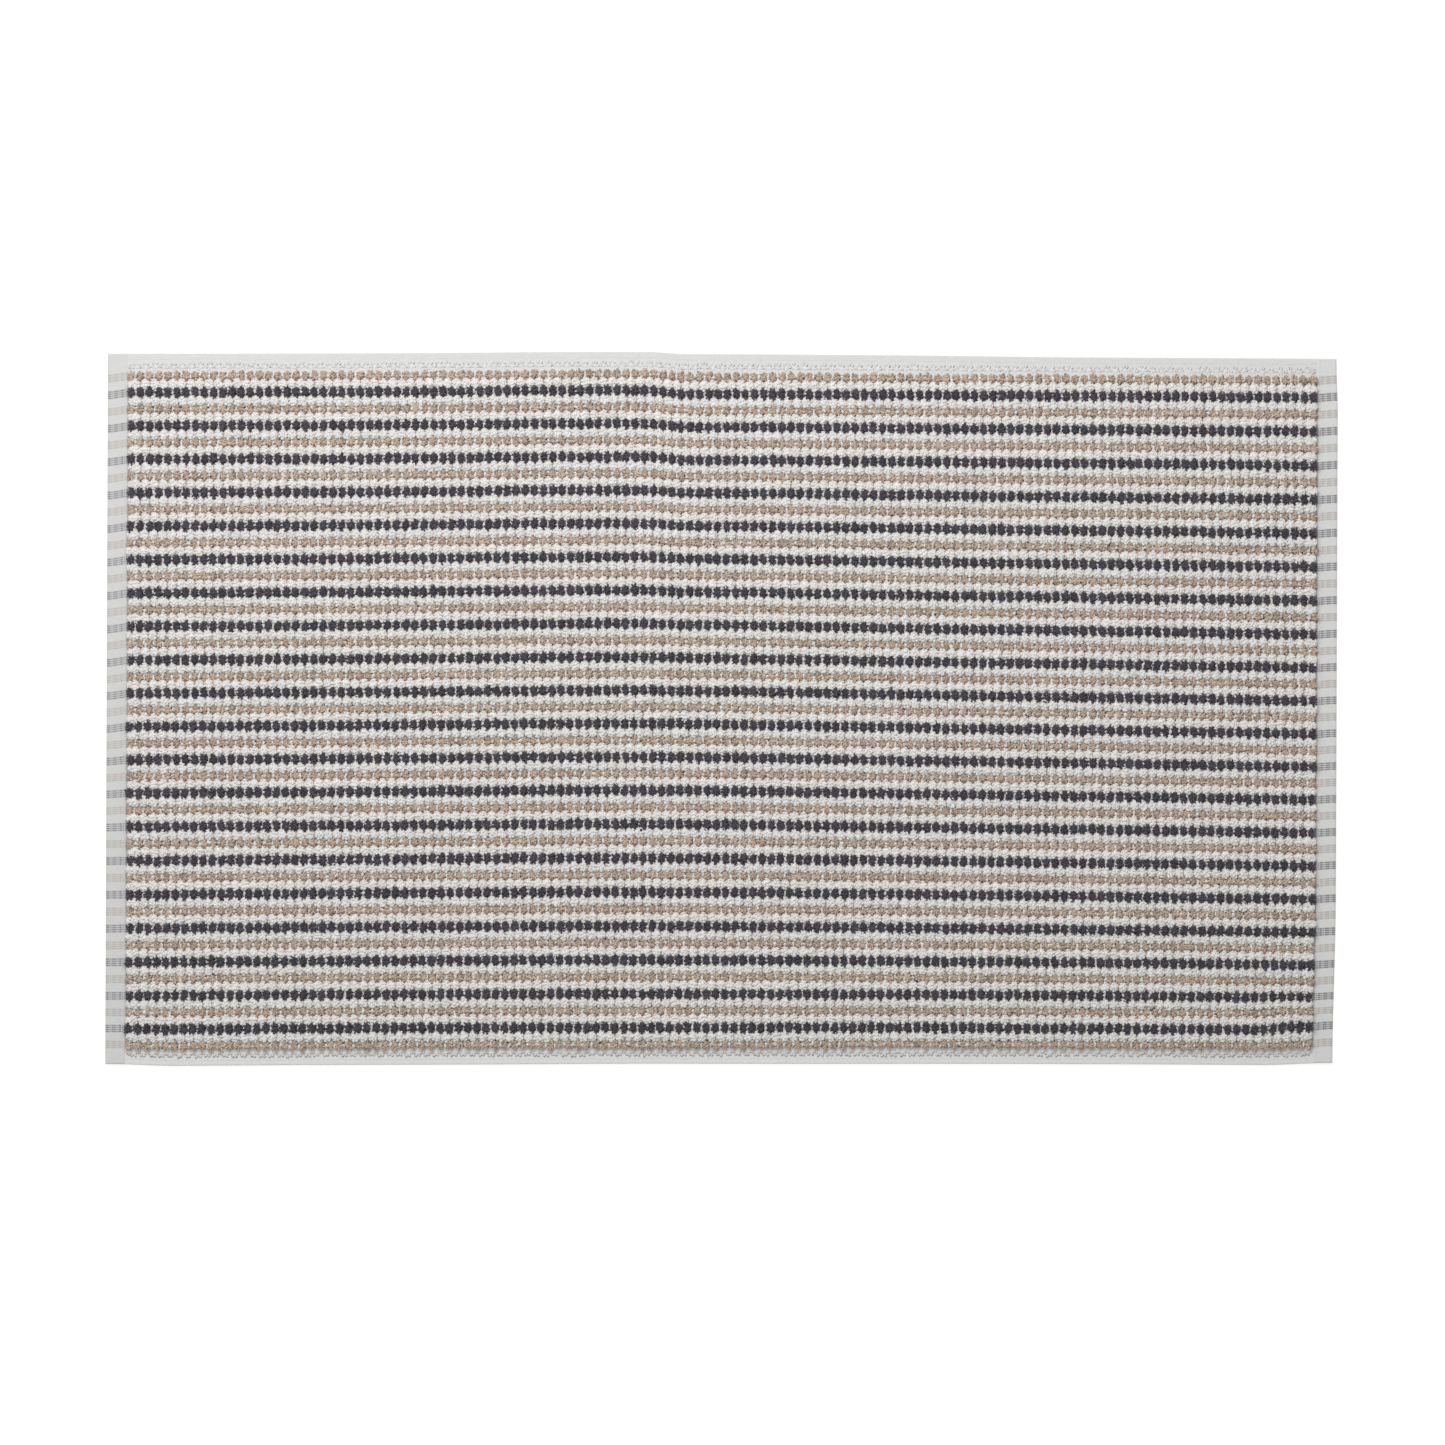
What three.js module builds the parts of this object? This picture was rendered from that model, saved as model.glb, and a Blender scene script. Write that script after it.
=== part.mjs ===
// A woven cotton bath mat with bobbled pile in stripes: charcoal and beige rows between white rows,
// flat hems on all four sides. Millimetres, +Z up. The underside lies on z = 0 and the origin is
// its middle. X runs along the mat and Y across it; row 01 of each colour is the one nearest +Y.
import * as THREE from "three";

// Driving dimensions
const MAT_LENGTH = 867;
const MAT_WIDTH = 500;
const GAP = 0.3; // air left between pieces that touch on the real mat

const COLOURED_ROWS = 41; // beige first and last, charcoal between each two beige rows
const COLOURED_PITCH = 11.74; // from one coloured row to the next, with a white row between

const END_HEM_WIDTH = 14; // the flat bands at the two short ends
const END_HEM_HEIGHT = 3.4; // three layers of the ground cloth
const SIDE_HEM_HEIGHT = 3.2;

const GROUND_HEIGHT = 2.2;
const PILE_BACKING_HEIGHT = 0.9; // the white pile yarns that run on under the coloured rows
const WHITE_PILE_TOP = 8.2;
const COLOURED_PILE_TOP = 9;
const SHOULDER = 0.55; // share of a row's height where its rounded top begins

const STITCH_WIDTH = 1.2;
const STITCH_HEIGHT = 0.6;
const STITCH_INSET = 2.2; // from the hem's inner edge to the middle of its seam
const ARC_STEPS = 6;

// Worked out from them
const ROW_PITCH = COLOURED_PITCH / 2;
const WHITE_ROWS = COLOURED_ROWS + 1; // one between each two coloured rows and one outside each end
const FIELD_LENGTH = MAT_LENGTH - 2 * END_HEM_WIDTH;
const FIELD_WIDTH = (WHITE_ROWS + COLOURED_ROWS) * ROW_PITCH + GAP;
const SIDE_HEM_WIDTH = (MAT_WIDTH - FIELD_WIDTH) / 2;
const BACKING_BASE = GROUND_HEIGHT + GAP;
const BACKING_TOP = BACKING_BASE + PILE_BACKING_HEIGHT;
const COLOURED_BASE = BACKING_TOP + GAP;
const BAR_WIDTH = ROW_PITCH - GAP;
const BAR_LENGTH = FIELD_LENGTH - 2 * GAP;

const cotton = {
  white: new THREE.MeshStandardMaterial({ color: 0xe4e2dd, roughness: 0.95, metalness: 0 }),
  ground: new THREE.MeshStandardMaterial({ color: 0xdedcd8, roughness: 0.92, metalness: 0 }),
  charcoal: new THREE.MeshStandardMaterial({ color: 0x38343d, roughness: 0.95, metalness: 0 }),
  beige: new THREE.MeshStandardMaterial({ color: 0xb49c86, roughness: 0.95, metalness: 0 }),
  thread: new THREE.MeshStandardMaterial({ color: 0xe8e6e1, roughness: 0.7, metalness: 0 }),
};

const twoDigits = (number) => String(number).padStart(2, "0");

// A bar of the given length, from an outline drawn across and up. Its group turns it to run along
// X, where across is Y, or along Y, where across is X.
const extruded = (outline, length) =>
  new THREE.ExtrudeGeometry(outline, { depth: length, bevelEnabled: false, curveSegments: ARC_STEPS });

const alongX = new THREE.Group();
alongX.quaternion.setFromRotationMatrix(
  new THREE.Matrix4().makeBasis(
    new THREE.Vector3(0, 1, 0),
    new THREE.Vector3(0, 0, 1),
    new THREE.Vector3(1, 0, 0),
  ),
);
const alongY = new THREE.Group();
alongY.rotation.x = Math.PI / 2;

function place(group, name, geometry, material, across, start) {
  const mesh = new THREE.Mesh(geometry, material);
  mesh.name = name;
  mesh.position.set(across, 0, start);
  group.add(mesh);
}

// The rounded top of one row of pile, as a half ellipse on two upright sides.
function dome(path, middle, base, top) {
  const half = BAR_WIDTH / 2;
  const shoulder = base + (top - base) * SHOULDER;
  path.lineTo(middle + half, base);
  path.lineTo(middle + half, shoulder);
  path.absellipse(middle, shoulder, half, top - shoulder, 0, Math.PI, false, 0);
  path.lineTo(middle - half, base);
}

// A flat band with its two upper edges rounded, as folded cloth has them.
function foldedCloth(width, height) {
  const ease = height / 3;
  const shape = new THREE.Shape();
  shape.moveTo(-width / 2, 0);
  shape.lineTo(width / 2, 0);
  shape.lineTo(width / 2, height - ease);
  shape.absarc(width / 2 - ease, height - ease, ease, 0, Math.PI / 2, false);
  shape.absarc(-width / 2 + ease, height - ease, ease, Math.PI / 2, Math.PI, false);
  return shape;
}

function groundCloth() {
  const width = FIELD_WIDTH - 2 * GAP;
  const shape = new THREE.Shape();
  shape.moveTo(-width / 2, 0);
  shape.lineTo(width / 2, 0);
  shape.lineTo(width / 2, GROUND_HEIGHT);
  shape.lineTo(-width / 2, GROUND_HEIGHT);
  place(alongX, "ground_cloth", extruded(shape, BAR_LENGTH), cotton.ground, 0, -BAR_LENGTH / 2);
}

// All the white rows are one set of yarns, so they are one solid: a thin backing with a rib a row.
function whitePile() {
  const edge = FIELD_WIDTH / 2 - GAP;
  const shape = new THREE.Shape();
  shape.moveTo(-edge, BACKING_BASE);
  shape.lineTo(edge, BACKING_BASE);
  shape.lineTo(edge, BACKING_TOP);
  for (let row = WHITE_ROWS - 1; row >= 0; row--) {
    dome(shape, (2 * row - COLOURED_ROWS) * ROW_PITCH, BACKING_TOP, WHITE_PILE_TOP);
  }
  shape.lineTo(-edge, BACKING_TOP);
  place(alongX, "white_pile", extruded(shape, BAR_LENGTH), cotton.white, 0, -BAR_LENGTH / 2);
}

function colouredRows() {
  const section = new THREE.Shape();
  section.moveTo(-BAR_WIDTH / 2, COLOURED_BASE);
  dome(section, 0, COLOURED_BASE, COLOURED_PILE_TOP);
  const count = { beige: 0, charcoal: 0 };
  for (let row = 0; row < COLOURED_ROWS; row++) {
    const colour = row % 2 === 0 ? "beige" : "charcoal";
    count[colour] += 1;
    const name = `${colour}_row_${twoDigits(count[colour])}`;
    const across = ((COLOURED_ROWS - 1) / 2 - row) * COLOURED_PITCH;
    place(alongX, name, extruded(section, BAR_LENGTH), cotton[colour], across, -BAR_LENGTH / 2);
  }
}

// The end hems run the whole width of the mat, and the side hems run between them.
function hems() {
  const end = extruded(foldedCloth(END_HEM_WIDTH, END_HEM_HEIGHT), MAT_WIDTH);
  const endAcross = (MAT_LENGTH - END_HEM_WIDTH) / 2;
  place(alongY, "end_hem_left", end, cotton.ground, -endAcross, -MAT_WIDTH / 2);
  place(alongY, "end_hem_right", end, cotton.ground, endAcross, -MAT_WIDTH / 2);

  const side = extruded(foldedCloth(SIDE_HEM_WIDTH, SIDE_HEM_HEIGHT), BAR_LENGTH);
  const sideAcross = (MAT_WIDTH - SIDE_HEM_WIDTH) / 2;
  place(alongX, "side_hem_back", side, cotton.ground, sideAcross, -BAR_LENGTH / 2);
  place(alongX, "side_hem_front", side, cotton.ground, -sideAcross, -BAR_LENGTH / 2);
}

// One seam holds each hem down, a thin ridge of thread along its inner edge.
function hemSeams() {
  const ridge = (height) => {
    const base = height + GAP;
    const shape = new THREE.Shape();
    shape.moveTo(-STITCH_WIDTH / 2, base);
    shape.lineTo(STITCH_WIDTH / 2, base);
    shape.lineTo(STITCH_WIDTH / 4, base + STITCH_HEIGHT);
    shape.lineTo(-STITCH_WIDTH / 4, base + STITCH_HEIGHT);
    return shape;
  };
  const endLength = MAT_WIDTH - 4 * GAP;
  const end = extruded(ridge(END_HEM_HEIGHT), endLength);
  const endAcross = MAT_LENGTH / 2 - END_HEM_WIDTH + STITCH_INSET;
  place(alongY, "seam_end_left", end, cotton.thread, -endAcross, -endLength / 2);
  place(alongY, "seam_end_right", end, cotton.thread, endAcross, -endLength / 2);

  const side = extruded(ridge(SIDE_HEM_HEIGHT), BAR_LENGTH);
  const sideAcross = MAT_WIDTH / 2 - SIDE_HEM_WIDTH + STITCH_INSET;
  place(alongX, "seam_side_back", side, cotton.thread, sideAcross, -BAR_LENGTH / 2);
  place(alongX, "seam_side_front", side, cotton.thread, -sideAcross, -BAR_LENGTH / 2);
}

const mat = new THREE.Group();
mat.add(alongX, alongY);
groundCloth();
whitePile();
colouredRows();
hems();
hemSeams();

export default mat;
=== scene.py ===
import math

import bpy
import numpy as np
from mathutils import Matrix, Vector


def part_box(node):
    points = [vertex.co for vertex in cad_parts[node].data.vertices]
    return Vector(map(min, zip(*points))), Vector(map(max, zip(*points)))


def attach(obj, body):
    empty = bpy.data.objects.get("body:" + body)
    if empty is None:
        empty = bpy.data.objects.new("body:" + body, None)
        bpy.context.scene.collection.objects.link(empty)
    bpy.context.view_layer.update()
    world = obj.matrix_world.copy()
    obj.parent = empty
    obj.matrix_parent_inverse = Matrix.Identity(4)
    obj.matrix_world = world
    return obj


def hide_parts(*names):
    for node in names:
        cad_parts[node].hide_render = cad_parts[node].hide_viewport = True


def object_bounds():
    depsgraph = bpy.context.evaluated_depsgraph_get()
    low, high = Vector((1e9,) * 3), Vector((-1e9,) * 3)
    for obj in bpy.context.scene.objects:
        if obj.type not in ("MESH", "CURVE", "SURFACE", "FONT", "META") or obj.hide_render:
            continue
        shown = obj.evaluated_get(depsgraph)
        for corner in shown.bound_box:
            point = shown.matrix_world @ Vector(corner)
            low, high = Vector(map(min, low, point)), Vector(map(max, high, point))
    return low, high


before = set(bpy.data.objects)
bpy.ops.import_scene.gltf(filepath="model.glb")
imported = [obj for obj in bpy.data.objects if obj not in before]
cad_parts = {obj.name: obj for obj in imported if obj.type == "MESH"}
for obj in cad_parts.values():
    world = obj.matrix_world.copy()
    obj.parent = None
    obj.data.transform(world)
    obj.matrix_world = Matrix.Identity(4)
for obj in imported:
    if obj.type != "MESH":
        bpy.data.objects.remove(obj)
cad_low, cad_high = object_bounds()

# The looks of a woven bath mat: loop pile in striped rows of tufts on a woven ground, with a flat
# hem on each side. Everything is in metres. X runs along the rows, Y across them and Z up.
MM = 0.001

# Bake maps. Each yarn has one cell of a square grid of this many a side in its row's map.
MAP_CELLS = 48
CELL_MARGIN = 0.05
STRIP_MARGINS = (0.03, 0.02)  # the same for a strip of cloth, at its sides and at its ends

# Pile
TUFT_PITCH = 6.43 * MM  # from one tuft to the next along a row
END_ROOM = 3.2 * MM  # from the end of a row to the middle of its first tuft
HALF_TUFT = 0.7  # size of the tuft at each end of a staggered row
ROOT_HEIGHT = 1.6 * MM  # where the yarn comes out of the ground cloth
CORE_SIDES = 8
LOOP_SIDES = 5
BRIDGE_SIDES = 3
YARN_WIDE, YARN_HIGH = 1.12, 0.88  # a pressed yarn is wider than it is high
TWIST = (0.2, 0.9)  # radians that a loop may turn from one ring of its points to the next
# The dark lines between the plies are painted shade, where the grooves between them would lie.
PLIES_ALONG, PLIES_AROUND = 2, 3  # dark lines between the plies, along a yarn and around it
BRIDGE_START, BRIDGE_STOP = 1.2 * MM, 1.0 * MM  # from the middles of the tufts it joins

# How unlike each other the tufts of a row are: lengths, and shares of the full size
ROW_SHIFT = 0.3 * MM
ROW_STRETCH = 0.25 * MM
TUFT_SHIFT = 0.15 * MM
BRIDGE_WANDER = 0.3 * MM
TUFT_RAGGED = 0.06
CORE_RAGGED = 0.08
HEIGHT_RAGGED = 0.06
RADIUS_RAGGED = 0.12
BRIDGE_RAGGED = 0.2
LOOP_BEND = 0.25

# Cloth
WARP_PITCH = 0.734 * MM  # yarns that run along the mat; every second one is a pile yarn
WEFT_PITCH = 0.88 * MM  # yarns that run across it
PILE_ENDS = 4  # pile yarns in one row of tufts
YARN_RELIEF = 0.14 * MM
END_TUCK = 1.8 * MM  # how far an end hem's cloth runs on under the pile
END_TUCK_HEIGHT = 2.0 * MM  # and the height it has there
SIDE_TUCK = 7.4 * MM  # the same for a side hem, which carries the low knots of the first white row
SIDE_TUCK_HEIGHT = 4.6 * MM
HEM_FOLD = np.array([(0.9, 0.0), (0.25, 0.3), (0.0, 1.2), (0.1, 2.1), (0.4, 2.85)]) * MM  # inward and up
FACE_START = 0.7 * MM  # from the folded edge to the first woven point
HEM_END = 1.2 * MM  # how far its rounded ends reach
# Painted light and shade: each hem's white is made lighter or darker to make up for how the light falls on
# that side.
HEM_PAINTED_LIGHT_AND_SHADE = {"end_hem_left": 0.95, "end_hem_right": 1.02, "side_hem_front": 1.08, "side_hem_back": 1.0}
STRIPE_REACH = 0.75 * WARP_PITCH  # a pile yarn's colour fades out to each side over this length,
STRIPE_FULLNESS = 1.35  # from this much, of which 1 is all that can show
STRIPE_STRENGTH = {-1: 0.95, 1: 1.2}  # in the hem at the left end and at the right end
STRIPE_CLUMP = 4.6 * MM  # the dashes of a stripe darken and fade over this length
HEM_SLANT = {-1: 0.15, 1: 0.09}  # the slope of the stripes there, towards +Y as X grows
STRAIGHT_ZONE = 3.1 * MM  # from the folded edge to where that slope begins
GROUND_FACE_POINTS = 84
GROUND_STEPS = 60
WARP_GROOVE = 0.22 * MM  # on the underside of the ground cloth

# Sewing
STITCH_LENGTH = 3.0 * MM
THREAD_RADIUS = 0.24 * MM
THREAD_SINK = 0.1 * MM
STITCH_WAY = np.array([-0.46, -0.28, 0.28, 0.46])  # points of a stitch, in stitch lengths
STITCH_LIFT = np.array([-1.2, -0.3, -0.3, -1.2])  # and their heights, in thread radii

WHITE = (0.80, 0.788, 0.765)
CLOTH_WHITE = (0.68, 0.68, 0.67)
THREAD_WHITE = (0.68, 0.68, 0.67)
EDGE_WHITE = (0.72, 0.715, 0.70)
CREAM = (0.79, 0.75, 0.70)
CHARCOAL = (0.088, 0.080, 0.106)
BROWN_BLACK = (0.090, 0.071, 0.076)
BEIGE = (0.55, 0.436, 0.347)
BEIGE_DARK = (0.40, 0.30, 0.225)
BEIGE_LINE = (0.43, 0.385, 0.355)

HALF_LENGTH = (cad_high.x - cad_low.x) / 2
HALF_WIDTH = (cad_high.y - cad_low.y) / 2


def smooth_step(value, start, stop):
    t = np.clip((value - start) / (stop - start), 0, 1)
    return t * t * (3 - 2 * t)


def settled(points):
    """The points moved as the soft mat lies: its rows swing a millimetre or two off straight.

    u runs from -1 to 1 along the mat and v across it, and each term is a shift in millimetres.
    """
    u = points[..., 0] / HALF_LENGTH
    v = points[..., 1] / HALF_WIDTH
    # The rows arch left of the middle, run off straight towards the ends and sag there.
    crest = np.exp(-(((u + 0.12) / 0.35) ** 2)) * (1.9 + 1.2 * v - 1.4 * v**2)
    slant = u * (-1.1 - 0.9 * v + 2.2 * v**2)
    sag = u**2 * (-2.8 + 0.45 * v + 1.5 * v**2) + 0.3 * v**2
    # A soft fold crosses the back half there, and the rows drop on its right.
    fold = smooth_step(u, -0.13, -0.05) * np.exp(-np.clip(u + 0.07, 0, None) / 0.35)
    held_by_hem = 1 - 0.5 * smooth_step(v, 0.9, 1.0)
    drop = -3.1 * np.clip(v, 0, None) * fold * held_by_hem
    belly = 0.8 * np.exp(-(((v + 0.25) / 0.25) ** 2))
    back_hem = (1.0 - 0.7 * smooth_step(u, 0.3, 0.6)) * smooth_step(v, 0.94, 1.0)
    front_hem = (1.0 + 0.7 * np.exp(-(((u + 0.12) / 0.2) ** 2))) * smooth_step(-v, 0.94, 1.0)
    # Both front corners lie back a little. Near the right one the last rows are tugged back too,
    # and the right end is drawn in.
    corners = 1.7 * smooth_step(np.abs(u), 0.88, 1.0) * smooth_step(-v, 0.8, 1.0)
    tug = 2.0 * smooth_step(u, 0.87, 0.93) * np.exp(-(((v + 0.87) / 0.06) ** 2))
    drawn_in = 2.0 * np.clip(u, 0, None) ** 4 * (smooth_step(-v, 0.5, 1.0) + 0.5 * smooth_step(v, 0.85, 1.0))
    moved = points.copy()
    moved[..., 0] -= drawn_in * MM
    moved[..., 1] += (crest + slant + sag + drop + belly + back_hem + front_hem + corners + tug) * MM
    return moved


def mesh_piece(name, points, faces, bake_map, shade):
    """A smooth mesh object. faces and bake_map are lists: each holds faces of one corner count."""
    mesh = bpy.data.meshes.new(name)
    mesh.vertices.add(len(points))
    mesh.vertices.foreach_set("co", settled(points).astype(np.float32).ravel())
    corners = np.concatenate([f.ravel() for f in faces])
    sizes = np.concatenate([np.full(len(f), f.shape[1]) for f in faces])
    starts = np.cumsum(sizes) - sizes
    mesh.loops.add(len(corners))
    mesh.loops.foreach_set("vertex_index", corners.astype(np.int32))
    mesh.polygons.add(len(sizes))
    mesh.polygons.foreach_set("loop_start", starts.astype(np.int32))
    mesh.polygons.foreach_set("use_smooth", np.ones(len(sizes), dtype=bool))
    mesh.update(calc_edges=True)
    colours = mesh.color_attributes.new(name="shade", type="FLOAT_COLOR", domain="POINT")
    rgba = np.concatenate([shade, np.ones((len(shade), 1))], axis=1)
    colours.data.foreach_set("color", rgba.astype(np.float32).ravel())
    layer = mesh.uv_layers.new(name="OFBake")
    layer.data.foreach_set("uv", np.concatenate([m.ravel() for m in bake_map]).astype(np.float32))
    piece = bpy.data.objects.new(name, mesh)
    bpy.context.scene.collection.objects.link(piece)
    return piece


def finish_piece(piece, material, slot, *nodes):
    """Gives a piece its material, hangs it on the root body and hides the parts it takes the place of."""
    piece.data.materials.append(material)
    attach(piece, "root")
    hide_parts(*nodes)
    return piece


# ---- Materials ----


def cotton(name, sheen):
    """A rough, slightly fuzzy material, and its shader."""
    material = bpy.data.materials.new(name)
    material.use_nodes = True
    shader = material.node_tree.nodes["Principled BSDF"]
    shader.inputs["Roughness"].default_value = 0.95
    shader.inputs["Specular IOR Level"].default_value = 0.15
    shader.inputs["Sheen Weight"].default_value = sheen
    shader.inputs["Sheen Roughness"].default_value = 0.6
    return material, shader


def scaled_colour(tree, colour, factor):
    """A colour output times a number output."""
    tinted = tree.nodes.new("ShaderNodeVectorMath")
    tinted.operation = "SCALE"
    tree.links.new(colour, tinted.inputs[0])
    tree.links.new(factor, tinted.inputs["Scale"])
    return tinted.outputs["Vector"]


def between(tree, value, low, high, from_low=0.0, from_high=1.0):
    """A number output moved from one range to another."""
    spread = tree.nodes.new("ShaderNodeMapRange")
    spread.inputs["From Min"].default_value = from_low
    spread.inputs["From Max"].default_value = from_high
    spread.inputs["To Min"].default_value = low
    spread.inputs["To Max"].default_value = high
    tree.links.new(value, spread.inputs["Value"])
    return spread.outputs["Result"]


def noise(tree, size, stretch=(1, 1, 1)):
    """Noise on the piece itself, with grains of about the given size."""
    place = tree.nodes.new("ShaderNodeTexCoord")
    mapping = tree.nodes.new("ShaderNodeMapping")
    mapping.inputs["Scale"].default_value = stretch
    grain = tree.nodes.new("ShaderNodeTexNoise")
    grain.inputs["Scale"].default_value = 1 / size
    grain.inputs["Detail"].default_value = 3
    tree.links.new(place.outputs["Object"], mapping.inputs["Vector"])
    tree.links.new(mapping.outputs["Vector"], grain.inputs["Vector"])
    return grain.outputs["Fac"]


def piece_shade(tree):
    shade = tree.nodes.new("ShaderNodeVertexColor")
    shade.layer_name = "shade"
    return shade.outputs["Color"]


def yarn_material(name, sheen, fleck, ply_groove_shade):
    """Twisted cotton yarn: the piece's own shade, painted shade in the grooves between its plies, and flecks.
    """
    material, shader = cotton(name, sheen)
    tree = material.node_tree
    unrolled = tree.nodes.new("ShaderNodeUVMap")
    unrolled.uv_map = "OFBake"
    turns = tree.nodes.new("ShaderNodeVectorMath")
    turns.operation = "DOT_PRODUCT"
    turns.inputs[1].default_value = (
        2 * math.pi * MAP_CELLS * PLIES_ALONG,
        2 * math.pi * MAP_CELLS * PLIES_AROUND,
        0,
    )
    wave = tree.nodes.new("ShaderNodeMath")
    wave.operation = "SINE"
    tree.links.new(unrolled.outputs["UV"], turns.inputs[0])
    tree.links.new(turns.outputs["Value"], wave.inputs[0])
    # Painted shade: darker lines along the grooves between the plies.
    plies = between(tree, wave.outputs[0], 1 - ply_groove_shade, 1 + ply_groove_shade / 2, -1, 1)
    flecks = between(tree, noise(tree, 0.5 * MM), 1 - fleck, 1 + fleck, 0.3, 0.7)
    colour = scaled_colour(tree, scaled_colour(tree, piece_shade(tree), plies), flecks)
    tree.links.new(colour, shader.inputs["Base Color"])
    return material


def cloth_material():
    """Close plain-woven cotton: the yarns' own shades, with slubs and the fuzz of single fibres."""
    material, shader = cotton("woven_cotton", 0.1)
    tree = material.node_tree
    slubs = between(tree, noise(tree, 1.2 * MM, (0.35, 1, 1)), 0.93, 1.07)
    fuzz = noise(tree, 0.25 * MM)
    bump = tree.nodes.new("ShaderNodeBump")
    bump.inputs["Strength"].default_value = 0.5
    bump.inputs["Distance"].default_value = 0.15 * MM
    tree.links.new(fuzz, bump.inputs["Height"])
    tree.links.new(bump.outputs["Normal"], shader.inputs["Normal"])
    tree.links.new(between(tree, fuzz, 0.82, 1.0), shader.inputs["Roughness"])
    tree.links.new(scaled_colour(tree, piece_shade(tree), slubs), shader.inputs["Base Color"])
    return material


# ---- Pile ----


def spread_over(rng, middle, change, count):
    """Numbers about a middle value, up to the given share above or below it."""
    return middle * (1 + rng.uniform(-change, change, count))


def tapered_yarns(centre, radius, swell, turn, sides):
    """Points of closed yarns that end in a tip: rings of points round the centres, then the tip.

    centre is (yarns, rings + 1, 3), and its last entry is the tip.
    """
    along = np.gradient(centre, axis=1)
    along /= np.linalg.norm(along, axis=2, keepdims=True)
    side = np.stack([-along[..., 1], along[..., 0], np.full(along.shape[:2], 1e-6)], axis=-1)
    side /= np.linalg.norm(side, axis=2, keepdims=True)
    over = np.cross(along, side)
    rings = centre.shape[1] - 1
    angle = 2 * np.pi * np.arange(sides)[None, None, :] / sides
    angle = angle + turn[:, None, None] * np.arange(rings)[:, None]
    size = (radius[:, None] * np.array(swell)[None, :])[..., None, None]
    ring = YARN_WIDE * np.cos(angle)[..., None] * side[:, :rings, None, :]
    ring = ring + YARN_HIGH * np.sin(angle)[..., None] * over[:, :rings, None, :]
    walls = centre[:, :rings, None, :] + ring * size
    return np.concatenate([walls.reshape(len(centre), -1, 3), centre[:, -1:, :]], axis=1)


def tapered_faces(count, rings, sides, first_point, first_cell):
    """Faces and bake map of count yarns: walls of four corners, a pointed tip and a flat foot."""
    ring = np.arange(rings * sides).reshape(rings, sides)
    after = np.roll(ring, -1, axis=1)
    tip = rings * sides
    walls = np.stack([ring[:-1], after[:-1], after[1:], ring[1:]], axis=-1).reshape(-1, 4)
    point = np.stack([ring[-1], after[-1], np.full(sides, tip)], axis=-1)
    foot = ring[:1, ::-1]

    k, j = np.meshgrid(np.arange(rings - 1), np.arange(sides), indexing="ij")
    wall_map = np.stack([k, j, k, j + 1, k + 1, j + 1, k + 1, j], axis=-1).reshape(-1, 4, 2)
    j = np.arange(sides)
    last = np.full(sides, rings - 1)
    point_map = np.stack([last, j, last, j + 1, last + 1, j + 0.5], axis=-1).reshape(-1, 3, 2)
    round_map = 2 * np.pi * j / sides
    foot_map = 0.1 * np.stack([1 + np.cos(round_map), 1 + np.sin(round_map)], axis=-1)[None]

    cell = first_cell + np.arange(count)
    corner = np.stack([cell % MAP_CELLS, cell // MAP_CELLS], axis=-1)[:, None, None, :]
    faces, bake_map = [], []
    for one, flat in ((walls, wall_map), (point, point_map), (foot, foot_map)):
        shift = first_point + np.arange(count) * (tip + 1)
        faces.append((one[None] + shift[:, None, None]).reshape(-1, one.shape[1]))
        placed = CELL_MARGIN + (1 - 2 * CELL_MARGIN) * flat / np.array([rings, sides])
        bake_map.append(((corner + placed[None]) / MAP_CELLS).reshape(-1, one.shape[1], 2))
    return faces, bake_map


class Yarns:
    """Collects the yarns of one piece, group by group, and makes one mesh of them."""

    def __init__(self):
        self.points, self.faces, self.bake_map, self.shade = [], [], [], []
        self.point_count, self.cell_count = 0, 0

    def add(self, points, rings, sides, colour, tint):
        """Adds yarns of the same build. tint has one value for each ring and one for the tip; below 1 it is
        painted shade, darker towards the roots.
        """
        faces, bake_map = tapered_faces(len(points), rings, sides, self.point_count, self.cell_count)
        levels = np.append(np.repeat(tint[:-1], sides), tint[-1])
        self.points.append(points.reshape(-1, 3))
        self.shade.append((colour[:, None, :] * levels[None, :, None]).reshape(-1, 3))
        self.faces += faces
        self.bake_map += bake_map
        self.point_count += points.shape[0] * points.shape[1]
        self.cell_count += len(points)

    def mesh(self, name):
        points, shade = np.concatenate(self.points), np.concatenate(self.shade)
        return mesh_piece(name, points, self.faces, self.bake_map, shade)


def add_cores(yarns, rng, tufts, look):
    """Adds the dense middle of each tuft, where the loops are too close to tell apart."""
    core = look["core"]
    count = tufts["count"]
    angle = 2 * np.pi * (np.arange(CORE_SIDES) + 0.5) / CORE_SIDES
    share, level = np.array(core["share"]), np.array(core["level"])
    points = np.zeros((count, len(share), CORE_SIDES, 3))
    size = tufts["size"][:, None, None] * rng.uniform(1 - CORE_RAGGED, 1 + CORE_RAGGED, points.shape[:3])
    points[..., 0] = tufts["x"][:, None, None] + core["reach_x"] * np.cos(angle) * share[:, None] * size
    points[..., 1] = tufts["y"][:, None, None] + core["reach_y"] * np.sin(angle) * share[:, None] * size
    points[..., 2] = (ROOT_HEIGHT + (core["height"] - ROOT_HEIGHT) * level[:-1])[:, None]
    tip = np.stack([tufts["x"], tufts["y"], np.full(count, core["height"])], axis=-1)
    points = np.concatenate([points.reshape(count, -1, 3), tip[:, None, :]], axis=1)
    colour = np.array(look["colour"]) * tufts["tint"][:, None]
    # Painted shade: the core is darker towards its root, deep in the pile.
    tint = look["painted_root_shade"] + (1 - look["painted_root_shade"]) * level
    yarns.add(points, len(share), CORE_SIDES, colour, tint)


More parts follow.
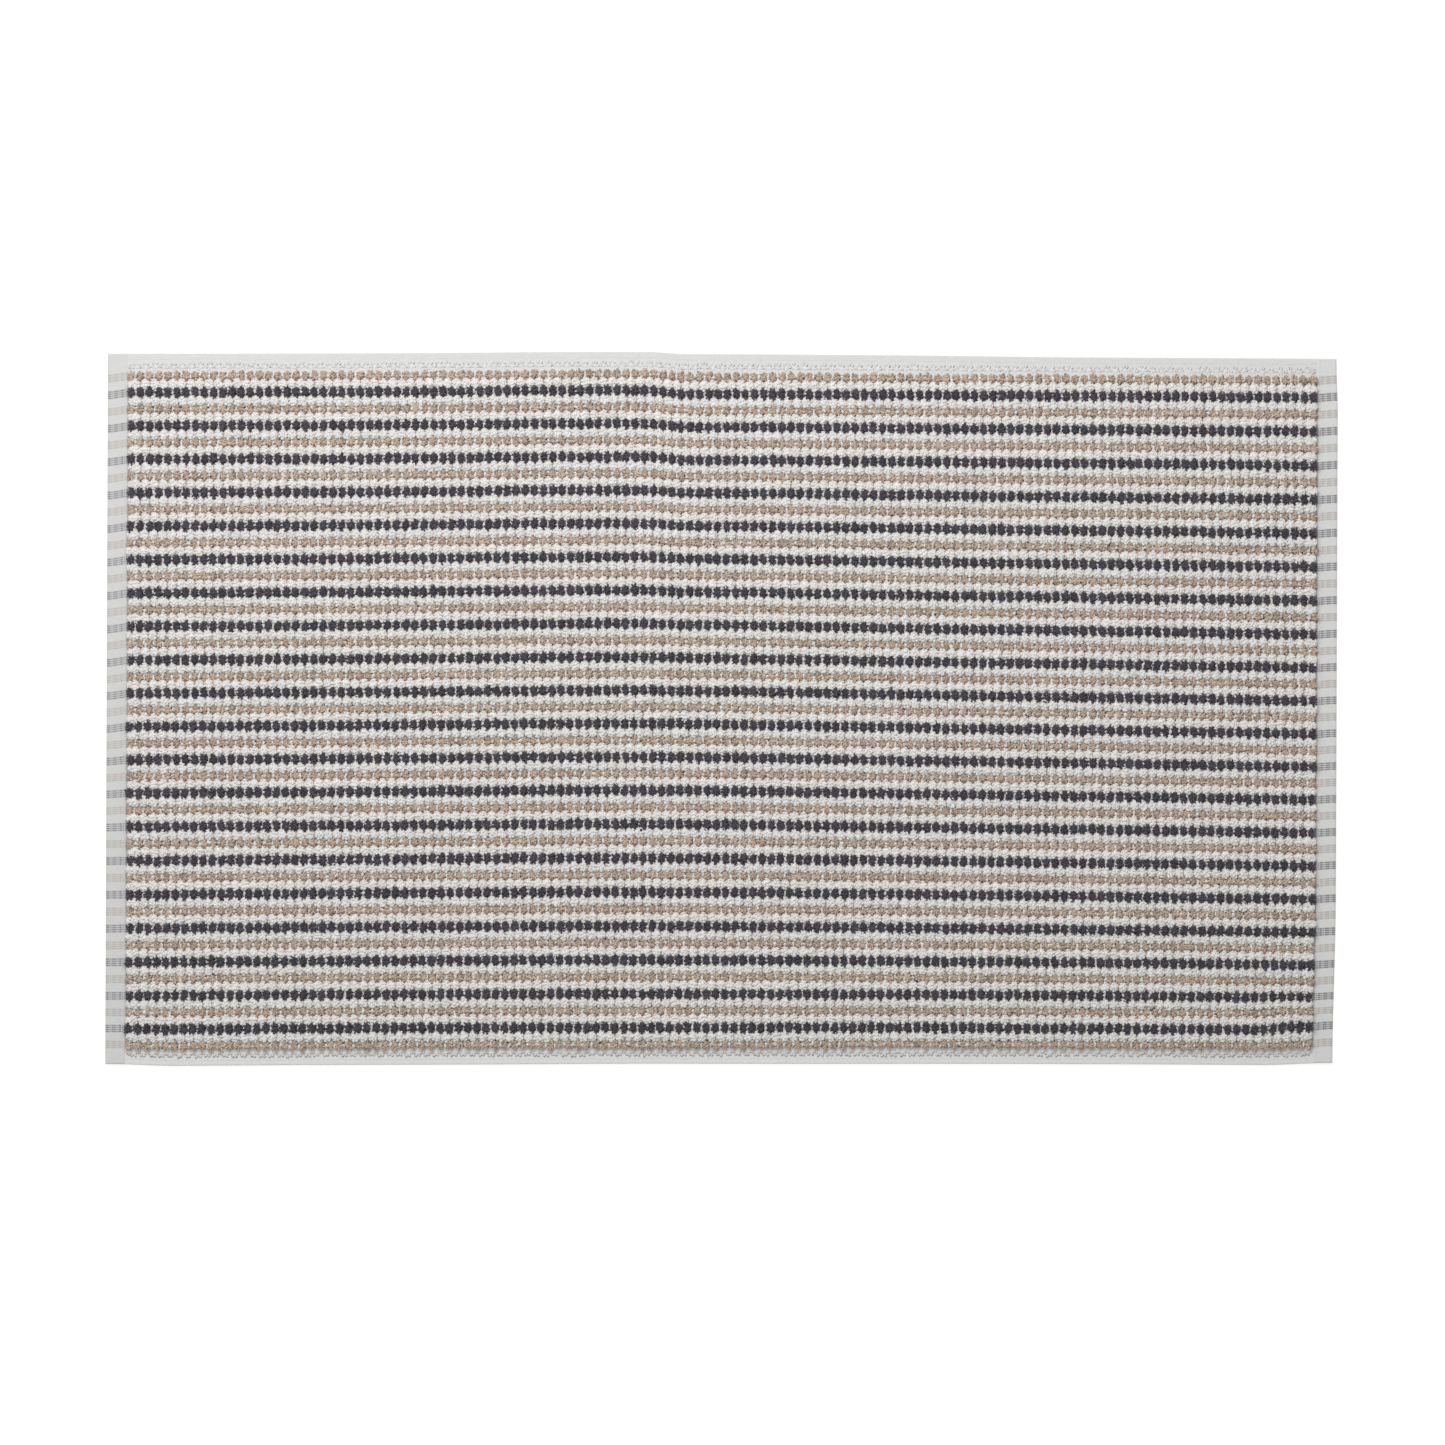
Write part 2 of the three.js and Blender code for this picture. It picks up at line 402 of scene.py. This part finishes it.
def add_loops(yarns, rng, tufts, look, ring):
    """Adds one ring of loops to every tuft. Each loop is twisted on itself into a plump finger."""
    per = ring["loops"]
    number = np.arange(tufts["count"] * per)
    tuft, place = number // per, number % per
    first = tufts["angle"][tuft] if ring["start"] is None else ring["start"]
    angle = first + 2 * np.pi * (place + ring["offset"]) / per
    angle = angle + rng.normal(0, ring["stray"], len(number))
    oval = np.stack([np.cos(angle) * ring["reach_x"], np.sin(angle) * ring["reach_y"]], axis=1)
    oval *= (tufts["size"][tuft] * spread_over(rng, 1.0, ring["ragged"], len(number)))[:, None]
    foot = oval * ring["foot"]
    way = np.array(ring["way"])
    bend = rng.normal(0, LOOP_BEND, len(number))

    centre = np.zeros((len(number), len(way), 3))
    reach = (oval - foot)[:, None, :] * (way ** ring["lean"])[None, :, None]
    curve = bend[:, None] * (way * (1 - way))[None, :]
    centre[..., 0] = (tufts["x"][tuft] + foot[:, 0])[:, None] + reach[..., 0] - curve * reach[:, -1:, 1]
    centre[..., 1] = (tufts["y"][tuft] + foot[:, 1])[:, None] + reach[..., 1] + curve * reach[:, -1:, 0]
    height = spread_over(rng, ring["height"], HEIGHT_RAGGED, len(number)) - ROOT_HEIGHT
    centre[..., 2] = ROOT_HEIGHT + height[:, None] * np.sin(way * ring["droop"])[None, :]

    radius = spread_over(rng, ring["radius"], RADIUS_RAGGED, len(number))
    turn = rng.uniform(*TWIST, len(number))
    points = tapered_yarns(centre, radius, ring["swell"], turn, LOOP_SIDES)
    dark = rng.random(len(number)) < look["dark_share"]
    colour = np.where(dark[:, None], np.array(look["dark"]), np.array(look["colour"]))
    colour = colour * (tufts["tint"][tuft] * spread_over(rng, 1.0, look["loop_tint"], len(number)))[:, None]
    # Painted shade: each loop is darker towards its root, deep in the pile.
    tint = look["painted_root_shade"] + (1 - look["painted_root_shade"]) * way**0.8
    yarns.add(points, len(way) - 1, LOOP_SIDES, colour, tint)


def add_bridges(yarns, rng, tufts, look):
    """Adds the thin pile yarns that cross from each tuft to the next."""
    per = look["bridges"]
    tuft = np.repeat(np.arange(tufts["count"] - 1), per)
    spread = np.tile(np.linspace(-1, 1, per), tufts["count"] - 1) * look["bridge_spread"]
    centre = np.zeros((len(tuft), 3, 3))
    centre[:, 0, 0] = tufts["x"][tuft] + BRIDGE_START
    centre[:, 2, 0] = tufts["x"][tuft + 1] - BRIDGE_STOP
    wander = rng.normal(0, BRIDGE_WANDER, (4, len(tuft)))
    centre[:, 0, 1] = tufts["y"][tuft] + spread
    centre[:, 2, 1] = tufts["y"][tuft + 1] + spread
    centre[:, 0, 1:] += wander[:2].T
    centre[:, 2, 1:] += wander[2:].T
    centre[:, ::2, 2] += look["bridge_height"]
    centre[:, 1] = (centre[:, 0] + centre[:, 2]) / 2
    radius = spread_over(rng, look["bridge_radius"], BRIDGE_RAGGED, len(tuft))
    points = tapered_yarns(centre, radius, (1.0, 1.0), np.zeros(len(tuft)), BRIDGE_SIDES)
    colour = np.array(look["colour"]) * spread_over(rng, 1.0, look["loop_tint"], len(tuft))[:, None]
    yarns.add(points, 2, BRIDGE_SIDES, colour, np.ones(3))


def pile_row(name, rng, y, ends, look):
    """One row of tufts along X at y. A staggered row has its tufts between those of other rows."""
    start, stop = ends
    gaps = int(round((stop - start) / TUFT_PITCH))
    pitch = (stop - start) / gaps
    count = gaps + 1 if look["staggered"] else gaps
    first = 0 if look["staggered"] else 0.5
    x = start + (np.arange(count) + first) * pitch
    x = np.clip(x, start + END_ROOM, stop - END_ROOM)
    drift = rng.normal(0, ROW_SHIFT) + rng.normal(0, ROW_STRETCH) * np.linspace(-1, 1, count)
    tufts = {
        "count": count,
        "x": x + drift + rng.normal(0, TUFT_SHIFT, count),
        "y": y + rng.normal(0, look["sway"], count),
        "size": spread_over(rng, 1.0, TUFT_RAGGED, count),
        "tint": spread_over(rng, 1.0, look["tuft_tint"], count),
        "angle": rng.uniform(0, 2 * np.pi, count),
    }
    if look["staggered"]:
        tufts["size"][[0, -1]] *= HALF_TUFT
    yarns = Yarns()
    add_cores(yarns, rng, tufts, look)
    for ring in look["rings"]:
        add_loops(yarns, rng, tufts, look, ring)
    if look["bridges"]:
        add_bridges(yarns, rng, tufts, look)
    return yarns.mesh(name)


# ---- Looks of the tufts ----


def a_core(kind, reach, height):
    """A core of the given kind. Its reach along X and Y and its height are in millimetres."""
    return kind | {"reach_x": reach[0] * MM, "reach_y": reach[1] * MM, "height": height * MM}


def a_ring(kind, loops, reach, height, radius):
    """A ring of loops of the given kind, with the reach of each, its height and its radius."""
    return a_core(kind, reach, height) | {"loops": loops, "radius": radius * MM}


# The outer loops of a tuft fan out over its core, and the inner ones stand up from its middle. Each
# ring starts at its own angle, or at the tuft's random one.
OUTER = {
    "start": None,
    "offset": 0.0,
    "stray": 0.16,
    "ragged": 0.17,
    "foot": 0.15,
    "lean": 1.3,
    "way": (0.0, 0.5, 0.9, 1.0),
    "swell": (0.8, 1.0, 0.95),
    "droop": 2.1,
}
INNER = OUTER | {
    "offset": 0.5,
    "stray": 0.3,
    "foot": 0.3,
    "way": (0.0, 0.82, 1.0),
    "swell": (1.0, 0.95),
    "droop": 1.6,
}
CORE = {"share": (0.85, 1.0, 0.8), "level": (0.0, 0.5, 0.85, 1.0)}

CHARCOAL_LOOK = {
    "colour": CHARCOAL,
    "dark": BROWN_BLACK,
    "dark_share": 0.35,
    "tuft_tint": 0.12,
    "loop_tint": 0.28,
    # painted shade at the roots: the share of the colour that is left at the foot of each yarn
    "painted_root_shade": 0.6,
    "sway": 0.2 * MM,
    "staggered": False,
    "bridges": 4,
    "bridge_spread": 2.2 * MM,
    "bridge_height": 5.8 * MM,
    "bridge_radius": 0.2 * MM,
    "core": a_core(CORE, (2.5, 3.1), 8.0),
    "rings": (
        a_ring(OUTER, 9, (3.1, 4.1), 8.2, 0.7),
        a_ring(INNER, 4, (1.3, 2.1), 8.9, 0.7),
    ),
}
BEIGE_LOOK = CHARCOAL_LOOK | {
    "colour": BEIGE,
    "dark": BEIGE_DARK,
    "dark_share": 0.3,
    "tuft_tint": 0.07,
    "loop_tint": 0.12,
    "painted_root_shade": 1.0,
    "bridges": 3,
    "bridge_spread": 1.7 * MM,
    "core": a_core(CORE, (2.5, 2.8), 7.0),
    "rings": (
        a_ring(OUTER, 8, (3.1, 3.6), 7.1, 0.82),
        a_ring(INNER, 4, (1.4, 1.7), 7.6, 0.78),
    ),
}

# Two loops of each white tuft lie straight across the rows, in the gaps between coloured tufts.
TOWARDS_BACK, TOWARDS_FRONT = math.pi / 2, -math.pi / 2
PLUMP = OUTER | {"ragged": 0.1, "foot": 0.4, "lean": 1.6, "droop": 1.9}
STRAIGHT = OUTER | {"start": TOWARDS_BACK, "stray": 0.06, "ragged": 0.08, "foot": 0.35, "droop": 1.8}
GAP_LOOPS = a_ring(STRAIGHT, 2, (7.0, 7.0), 6.35, 1.15)
SPREADING_CORE = {"share": (1.55, 1.3, 0.85), "level": (0.0, 0.62, 0.88, 1.0)}
WHITE_LOOK = {
    "colour": WHITE,
    "dark": CREAM,
    "dark_share": 0.2,
    "tuft_tint": 0.02,
    "loop_tint": 0.03,
    "painted_root_shade": 0.9,
    "sway": 0.15 * MM,
    "staggered": True,
    "bridges": 0,
    "core": a_core(SPREADING_CORE, (3.2, 3.7), 7.2),
    "rings": (
        a_ring(PLUMP, 7, (3.3, 4.0), 7.0, 1.3),
        a_ring(INNER, 4, (1.4, 1.8), 7.5, 1.2),
        GAP_LOOPS,
    ),
}

# The first and last white rows are low knots, with their gap loops on the inner side only.
EDGE_LOOK = WHITE_LOOK | {
    "colour": EDGE_WHITE,
    "dark": EDGE_WHITE,
    "core": a_core(CORE, (2.4, 2.4), 4.2),
}
LYING = OUTER | {"start": TOWARDS_BACK, "offset": 0.5, "stray": 0.08, "foot": 0.3, "droop": 2.4}
EDGE_RING = a_ring(LYING, 6, (3.2, 3.4), 3.8, 0.95)


def coloured_rows():
    """The node of each coloured row, its two ends along X and its middle across the mat."""
    rows = []
    for node in sorted(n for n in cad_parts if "_row_" in n):
        low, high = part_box(node)
        rows.append((node, (low.x, high.x), (low.y + high.y) / 2))
    return rows


def build_coloured_pile(rng):
    kinds = {
        "charcoal": (CHARCOAL_LOOK, yarn_material("charcoal_cotton_yarn", 0.1, 0.25, 0.2)),
        "beige": (BEIGE_LOOK, yarn_material("beige_cotton_yarn", 0.15, 0.12, 0.12)),
    }
    pieces = []
    for node, ends, middle in coloured_rows():
        colour = node.split("_")[0]
        look, material = kinds[colour]
        piece = pile_row(node + "_tufts", rng, middle, ends, look)
        pieces.append(finish_piece(piece, material, colour + "_pile", node))
    return pieces


def build_white_pile(rng):
    """The white rows: one between each two coloured rows, and one outside each end of them."""
    material = yarn_material("white_cotton_yarn", 0.2, 0.05, 0.08)
    middles = sorted((middle for _, _, middle in coloured_rows()), reverse=True)
    pitch = middles[0] - middles[1]
    low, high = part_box("white_pile")
    inward = {0: TOWARDS_FRONT, len(middles): TOWARDS_BACK}
    pieces = []
    for row in range(len(middles) + 1):
        look = WHITE_LOOK
        if row in inward:
            look = EDGE_LOOK | {"rings": (EDGE_RING, GAP_LOOPS | {"loops": 1, "start": inward[row]})}
        name = f"white_row_{row + 1:02d}_tufts"
        piece = pile_row(name, rng, middles[0] + pitch / 2 - row * pitch, (low.x, high.x), look)
        pieces.append(finish_piece(piece, material, "white_pile", "white_pile"))
    return pieces


# ---- Woven cloth ----


def pile_end_cover(y, strength):
    """How much each y of the cloth shows a coloured pile yarn, and that yarn's colour."""
    cover = np.zeros(y.shape)
    colour = np.zeros(y.shape + (3,))
    for node, _, middle in coloured_rows():
        for end in range(PILE_ENDS):
            line = middle + (end - (PILE_ENDS - 1) / 2) * 2 * WARP_PITCH
            here = np.clip(STRIPE_FULLNESS - np.abs(y - line) / STRIPE_REACH, 0, 1)
            colour[here > 0] = CHARCOAL if "charcoal" in node else BEIGE_LINE
            cover = np.maximum(cover, here)
    return np.minimum(cover * strength, 1)[..., None], colour


def loft(name, sections, shade, strips):
    """A closed piece from equal rings of points, one ring for each step of the way along it.

    Its bake map has that many strips side by side, and each holds one stretch of the piece.
    """
    steps, corners = sections.shape[:2]
    grid = np.arange(steps * corners).reshape(steps, corners)
    after = np.roll(grid, -1, axis=1)
    walls = np.stack([grid[:-1], grid[1:], after[1:], after[:-1]], axis=-1).reshape(-1, 4)
    ends = np.stack([grid[0], grid[-1, ::-1]])

    k, j = np.meshgrid(np.arange(steps - 1), np.arange(corners), indexing="ij")
    run = np.stack([k, k + 1, k + 1, k], axis=-1).reshape(-1, 4) / (steps - 1) * strips
    around = np.stack([j, j, j + 1, j + 1], axis=-1).reshape(-1, 4) / corners
    strip = np.clip(np.floor(run.mean(1, keepdims=True)), 0, strips - 1)
    beside, beyond = STRIP_MARGINS
    across = (strip + beside + (1 - 2 * beside) * around) / strips
    wall_map = np.stack([across, beyond + (1 - 2 * beyond) * (run - strip)], -1)
    turn = 2 * np.pi * np.arange(corners) / corners
    end_map = 0.004 * np.stack([1 + np.cos(turn), 1 + np.sin(turn)], axis=-1)
    end_map = np.stack([end_map, end_map])
    return mesh_piece(name, sections.reshape(-1, 3), [walls, ends], [wall_map, end_map], shade.reshape(-1, 3))


def hem_profile(width, height, pitch, tuck, tuck_height):
    """The section of a hem: how far in each point lies, how high, and 1 where the face is woven."""
    reach = width + tuck
    face = np.arange(1, int(reach / pitch)) * pitch
    face = face[face > FACE_START]
    slope = smooth_step(face, width, reach + 0.6 * MM)
    face_height = height + (tuck_height - height) * slope
    # The underside climbs from the floor to the end of the tuck.
    under = [(reach, 1.2 * MM), (width - 0.3 * MM, 0.0), (width * 0.5, 0.0)]
    inward = np.array([a for a, _ in HEM_FOLD] + list(face) + [a for a, _ in under])
    level = np.array([z for _, z in HEM_FOLD] + list(face_height) + [z for _, z in under])
    woven = np.zeros(len(inward))
    woven[len(HEM_FOLD) : len(HEM_FOLD) + len(face)] = 1
    return inward, level, woven


def end_hem_shade(base, y, inward, weft, outward):
    """The cloth's white with the pile yarns that run on through it, dark where they lie on top."""
    clumps = 0.8 + 0.25 * np.cos(2 * np.pi * (inward - 1.6 * MM) / STRIPE_CLUMP)
    dash = np.where(weft % 2 == 0, 0.95, 0.6) * clumps[None, :] * STRIPE_STRENGTH[outward]
    cover, tone = pile_end_cover(y, dash)
    return base * (1 - cover) + tone * cover


def hem(node, box, outward, axis, material):
    """A folded band of plain weave that runs along axis, with its folded edge on the outward side.

    It has two steps to each warp yarn and one to each weft yarn, whichever way those run.
    """
    low, high = np.array(box[0]), np.array(box[1])
    across = 1 - axis
    width, height = high[across] - low[across], high[2]
    edge = high[across] if outward > 0 else low[across]
    if axis == 1:
        pitch_along, pitch_across = WARP_PITCH / 2, WEFT_PITCH
        inward, level, woven = hem_profile(width, height, pitch_across, END_TUCK, END_TUCK_HEIGHT)
    else:
        pitch_along, pitch_across = WEFT_PITCH, WARP_PITCH / 2
        inward, level, woven = hem_profile(width, height, pitch_across, SIDE_TUCK, SIDE_TUCK_HEIGHT)

    steps = int(round((high[axis] - low[axis]) / pitch_along))
    run = np.linspace(low[axis], high[axis], steps + 1)
    i, j = np.meshgrid(np.arange(steps + 1), np.arange(len(inward)), indexing="ij")
    half_warp, weft = (i, j) if axis == 1 else (j, i)
    crown = np.where(half_warp % 2 == 1, 0.0, -1.0)
    crown = crown + np.where((half_warp // 2 + weft) % 2 == 0, 0.0, -0.4)

    sections = np.zeros((steps + 1, len(inward), 3))
    sections[..., axis] = run[:, None]
    sections[..., across] = edge - outward * inward[None, :]
    # Both ends are rounded, and what rises above the hem's own height falls away before them.
    ends = np.minimum(run - run[0], run[-1] - run)
    rounded = 0.45 + 0.55 * np.sqrt(np.clip(1 - (1 - np.clip(ends / HEM_END, 0, 1)) ** 2, 0, 1))
    raised = np.clip(level - height, 0, None)
    kept = smooth_step(ends, 1.0 * MM, 7.0 * MM)
    arched = level[None, :] - raised[None, :] * (1 - kept[:, None])
    sections[..., 2] = arched * rounded[:, None] + crown * woven[None, :] * YARN_RELIEF
    sections[..., 2] = np.clip(sections[..., 2], 0, None)

    # The cloth white, lighter or darker on each hem with painted light and shade.
    shade = np.broadcast_to(np.array(CLOTH_WHITE) * HEM_PAINTED_LIGHT_AND_SHADE[node], sections.shape)
    if axis == 1:
        shade = end_hem_shade(shade, sections[..., 1], inward, weft, outward)
        slant = HEM_SLANT[outward] * smooth_step(ends, 3 * MM, 10 * MM)
        if outward < 0:
            slant = slant * smooth_step(run, -0.5 * HALF_WIDTH, 0.1 * HALF_WIDTH)
        from_pile = np.clip(width - np.clip(inward, STRAIGHT_ZONE, width), 0, None)
        sections[..., 1] += outward * slant[:, None] * from_pile[None, :]
    if (outward > 0) == (axis == 0):
        sections = sections[::-1]
        shade = shade[::-1]
    piece = loft(node + "_cloth", sections, shade, 10)
    return finish_piece(piece, material, "ground_weave", node)


def build_hems(material):
    pieces = []
    for node, outward in (("end_hem_left", -1), ("end_hem_right", 1)):
        pieces.append(hem(node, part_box(node), outward, 1, material))
    for node, outward in (("side_hem_front", -1), ("side_hem_back", 1)):
        hem_low, hem_high = (np.array(corner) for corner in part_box(node))
        hem_low[0] -= END_TUCK
        hem_high[0] += END_TUCK
        pieces.append(hem(node, (hem_low, hem_high), outward, 0, material))
    return pieces


def build_ground(material):
    """The cloth under the pile. Its underside shows the warp yarns, and the pile hides its face."""
    low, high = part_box("ground_cloth")
    warps = int(round((high.y - low.y) / WARP_PITCH))
    under = np.linspace(high.y, low.y, warps + 1)
    face = np.linspace(low.y, high.y, GROUND_FACE_POINTS)
    y = np.concatenate([under, face])
    grooves = np.where(np.arange(warps + 1) % 2 == 0, 0, WARP_GROOVE)
    z = np.concatenate([grooves, np.full(GROUND_FACE_POINTS, high.z)])
    x = np.linspace(low.x, high.x, GROUND_STEPS + 1)
    sections = np.zeros((GROUND_STEPS + 1, len(y), 3))
    sections[..., 0] = x[:, None]
    sections[..., 1] = y[None, :]
    sections[..., 2] = z[None, :]
    cover, tone = pile_end_cover(sections[..., 1], 0.6)
    shade = np.array(CLOTH_WHITE) * (1 - cover) + tone * cover
    shade[:, warps + 1 :] = CLOTH_WHITE
    piece = loft("ground_cloth_weave", sections, shade, 1)
    return finish_piece(piece, material, "ground_weave", "ground_cloth")


# ---- Sewing ----


def thread_material():
    """Mercerised cotton thread, a little shinier than the yarns."""
    material, shader = cotton("sewing_thread", 0.05)
    tree = material.node_tree
    lint = between(tree, noise(tree, 0.4 * MM), 0.94, 1.04)
    tree.links.new(scaled_colour(tree, piece_shade(tree), lint), shader.inputs["Base Color"])
    tree.links.new(between(tree, noise(tree, 0.3 * MM), 0.6, 0.8), shader.inputs["Roughness"])
    return material


def build_seams(material):
    """One row of stitches down each hem. Each stitch dips into the cloth at both its ends."""
    pieces = []
    for node in sorted(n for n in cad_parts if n.startswith("seam_")):
        low, high = (np.array(corner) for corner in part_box(node))
        axis = 0 if "side" in node else 1
        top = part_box(node.replace("seam_end", "end_hem").replace("seam_side", "side_hem"))[1].z
        stitches = int((high[axis] - low[axis]) / STITCH_LENGTH)
        middle = low[axis] + (np.arange(stitches) + 0.5) * (high[axis] - low[axis]) / stitches
        across = (low[1 - axis] + high[1 - axis]) / 2
        centre = np.zeros((stitches, len(STITCH_WAY), 3))
        centre[..., axis] = middle[:, None] + STITCH_LENGTH * STITCH_WAY
        centre[..., 1 - axis] = across
        centre[..., 2] = top + STITCH_LIFT * THREAD_RADIUS - THREAD_SINK
        yarns = Yarns()
        radius = np.full(stitches, THREAD_RADIUS)
        points = tapered_yarns(centre, radius, (0.7, 1.0, 1.0), np.zeros(stitches), LOOP_SIDES)
        colour = np.tile(np.array(THREAD_WHITE), (stitches, 1))
        yarns.add(points, 3, LOOP_SIDES, colour, np.ones(4))
        piece = yarns.mesh(node + "_stitches")
        pieces.append(finish_piece(piece, material, "sewing_thread", node))
    return pieces


# ---- Stage ----


def build_stage():
    """A wide pale floor that glows a little, as a lit studio sweep does."""
    floor_mesh = bpy.data.meshes.new("floor")
    size = 4.0
    drop = -0.1 * MM
    corners = [(-size, -size, drop), (size, -size, drop), (size, size, drop), (-size, size, drop)]
    floor_mesh.from_pydata(corners, [], [(0, 1, 2, 3)])
    floor = bpy.data.objects.new("floor", floor_mesh)
    bpy.context.scene.collection.objects.link(floor)
    material = bpy.data.materials.new("pale_floor")
    material.use_nodes = True
    shader = material.node_tree.nodes["Principled BSDF"]
    shader.inputs["Base Color"].default_value = (0.35, 0.35, 0.35, 1)
    shader.inputs["Roughness"].default_value = 0.9
    shader.inputs["Emission Color"].default_value = (1, 1, 1, 1)
    shader.inputs["Emission Strength"].default_value = 0.76
    floor_mesh.materials.append(material)


def build_lights():
    scene = bpy.context.scene
    scene.world = bpy.data.worlds.new("studio")
    scene.world.use_nodes = True
    background = scene.world.node_tree.nodes["Background"]
    background.inputs["Color"].default_value = (1.0, 1.0, 1.0, 1)
    background.inputs["Strength"].default_value = 0.45
    soft_box = bpy.data.lights.new("soft_box", "AREA")
    soft_box.shape = "RECTANGLE"
    soft_box.size = 1.4
    soft_box.size_y = 1.0
    soft_box.energy = 30
    lamp = bpy.data.objects.new("soft_box", soft_box)
    lamp.location = (-0.37, 1.0, 1.75)
    lamp.rotation_euler = (-lamp.location).to_track_quat("-Z", "Y").to_euler()
    scene.collection.objects.link(lamp)


def build_camera():
    """Straight above the mat, from far off, as the mat fills most of the picture's width."""
    view_width = 1019 * MM
    distance = 3.2
    camera_data = bpy.data.cameras.new("camera")
    camera_data.sensor_width = 36
    camera_data.lens = camera_data.sensor_width * distance / view_width
    camera = bpy.data.objects.new("camera", camera_data)
    camera.location = (0.7 * MM, -8.3 * MM, distance)
    camera.rotation_euler = (0, 0, math.radians(0.22))
    bpy.context.scene.collection.objects.link(camera)
    bpy.context.scene.camera = camera


build_camera()
build_stage()
build_lights()
bpy.context.scene.view_settings.view_transform = "Standard"
woven_cotton = cloth_material()
random_draws = np.random.default_rng(41)
pieces_on_ground = build_coloured_pile(random_draws) + build_white_pile(random_draws)
pieces_on_ground += build_hems(woven_cotton) + build_seams(thread_material())
ground = build_ground(woven_cotton)
